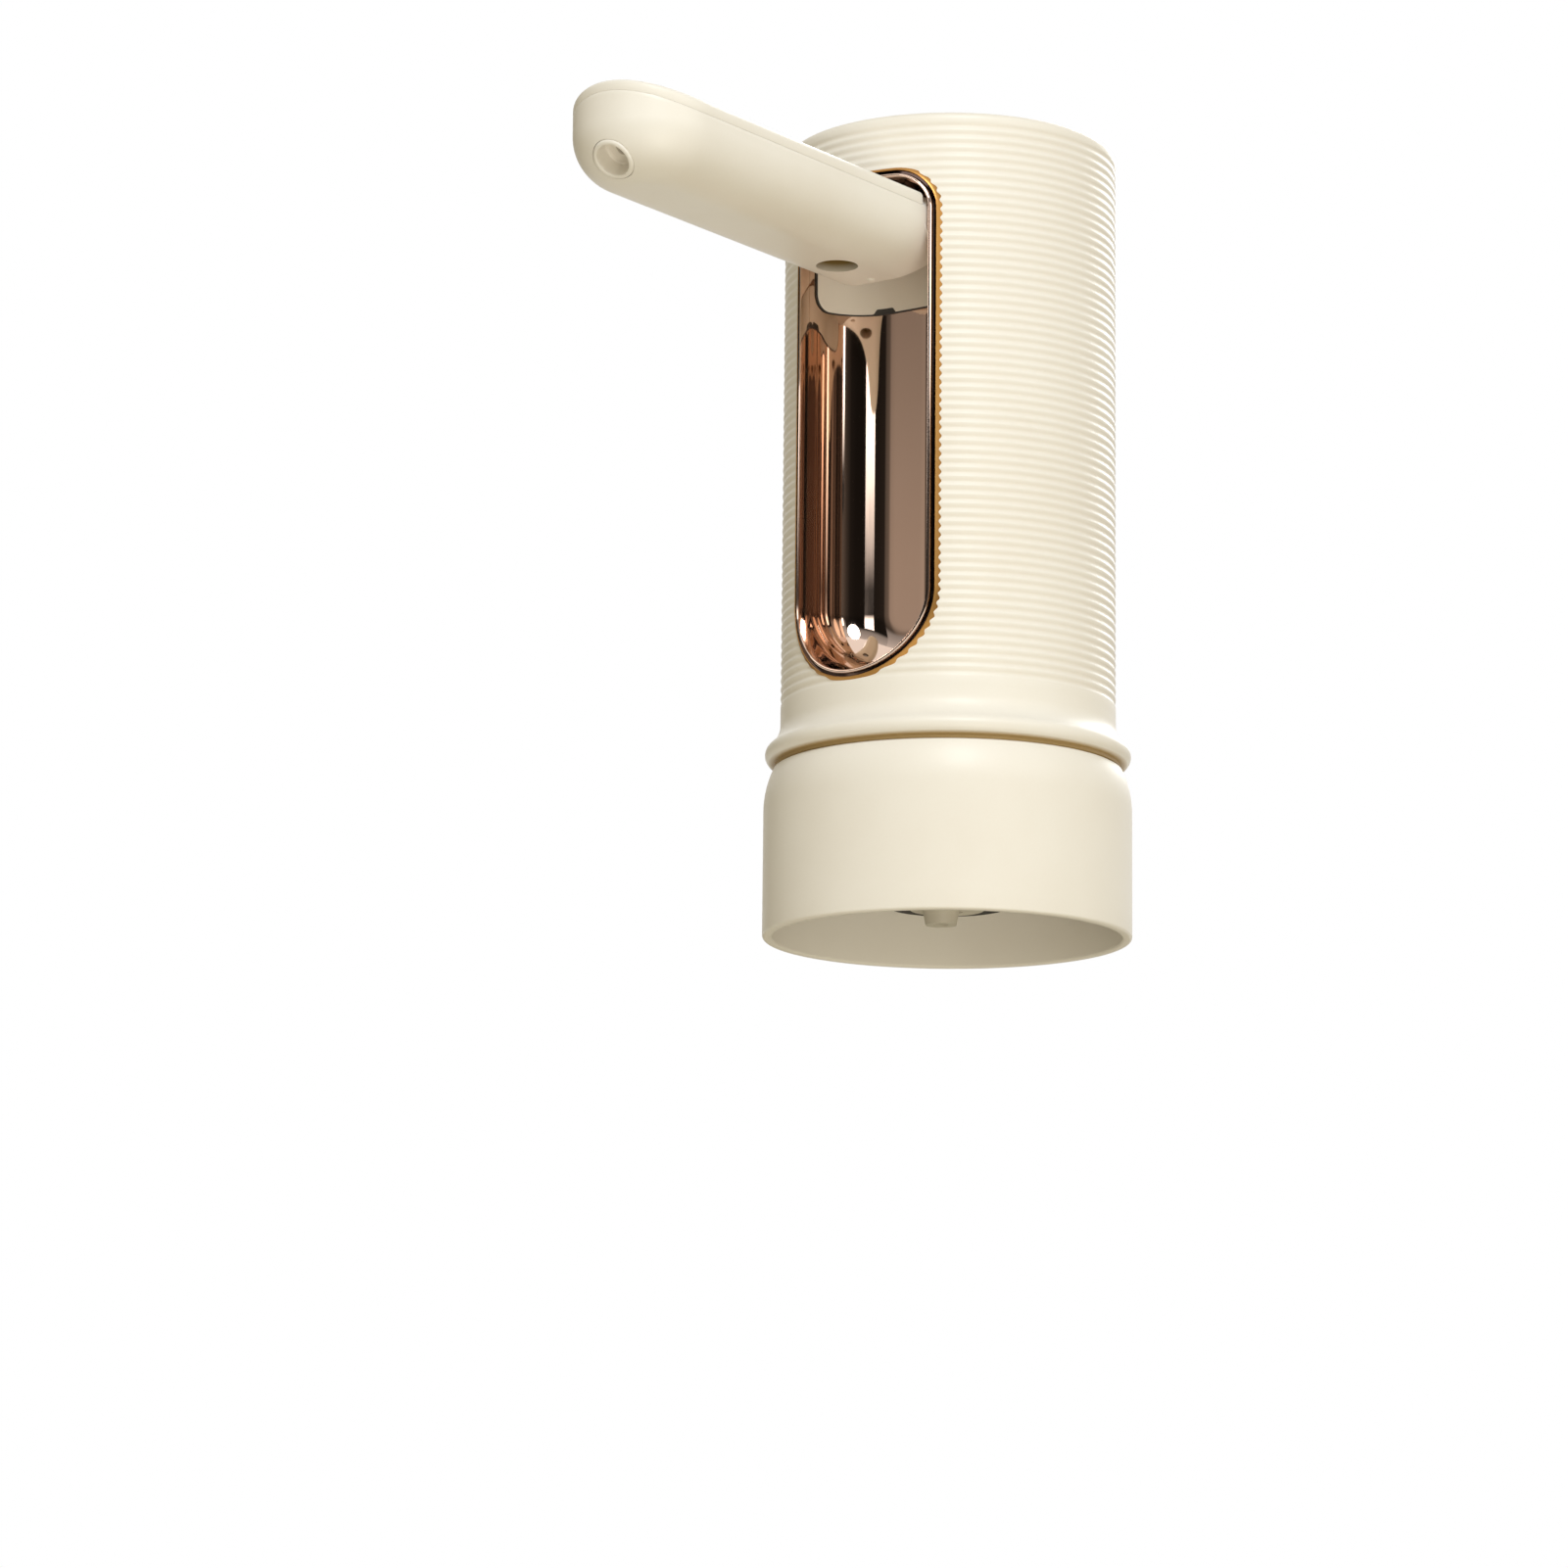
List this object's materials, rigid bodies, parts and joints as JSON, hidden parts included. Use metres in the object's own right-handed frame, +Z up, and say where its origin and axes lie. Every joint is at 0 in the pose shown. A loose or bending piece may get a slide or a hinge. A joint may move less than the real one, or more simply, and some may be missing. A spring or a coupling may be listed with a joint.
{
  "type": "electric wine aerator",
  "caption": "Ribbed cylindrical wine aerator and dispenser that plugs into a bottle's neck, with a spout that folds flush into a polished bay and a push button on top.",
  "frame": {"origin": "on the body's axis, in the plane where the bottle's lip meets the gasket", "axes": "+Z up along the body's axis, -Y along the spout when it is out"},
  "size_m": [0.0548, 0.1134, 0.12],
  "materials": {
    "cream_plastic": "satin",
    "rose_chrome": "polished rose gold",
    "steel": "bright",
    "dark_silicone": "matt",
    "inner_plastic": "moulded",
    "black_plastic": "moulded",
    "clear_hose": "translucent silicone",
    "light_diffuser": "milky",
    "board_green": "solder mask",
    "cell_wrap": "shrink wrap"
  },
  "bodies": {
    "housing": {"ribbed_shell": "cream_plastic", "skirt": "cream_plastic", "window_bezel": "rose_chrome", "spout_bay": "rose_chrome", "hinge_seat": "cream_plastic", "top_cap": "cream_plastic", "light_ring": "light_diffuser", "tact_switch": "black_plastic", "control_board": "board_green", "usb_socket": "steel", "chassis": "inner_plastic", "bay_screws": "steel", "base_deck": "inner_plastic", "skirt_screws": "steel", "stopper_core": "inner_plastic", "core_screws": "steel", "bottle_stopper": "dark_silicone", "lip_gasket": "dark_silicone", "battery_cell": "cell_wrap", "motor_pad": "dark_silicone", "motor_can": "steel", "pump_body": "black_plastic", "pump_diaphragm": "dark_silicone", "pump_head": "black_plastic", "air_hose": "clear_hose", "air_valve": "inner_plastic", "wine_hose": "clear_hose", "hinge_axle": "steel", "axle_seals": "dark_silicone", "feed_stem": "steel"},
    "spout": {"spout_shell": "cream_plastic", "spout_cover": "cream_plastic", "spout_screw": "steel", "pour_tube": "clear_hose", "pour_nozzle": "cream_plastic"},
    "button": {"power_button": "rose_chrome", "switch_plunger": "black_plastic"},
    "rotor": {"motor_rotor": "steel"}
  },
  "joints": [
    {"name": "spout_fold", "type": "hinge", "parent": "housing", "child": "spout", "pos_m": [0, -0.0192, 0.083], "axis": [1, 0, 0], "range_deg": [0, 90]},
    {"name": "button_press", "type": "slide", "parent": "housing", "child": "button", "axis": [0, 0, -1], "range_m": [0, 0.0008], "stiffness_N_per_m": 600},
    {"name": "motor_spin", "type": "hinge", "parent": "housing", "child": "rotor", "pos_m": [-0.00981, 0.00883, 0.0096], "axis": [0, 0, 1], "continuous": true}
  ]
}
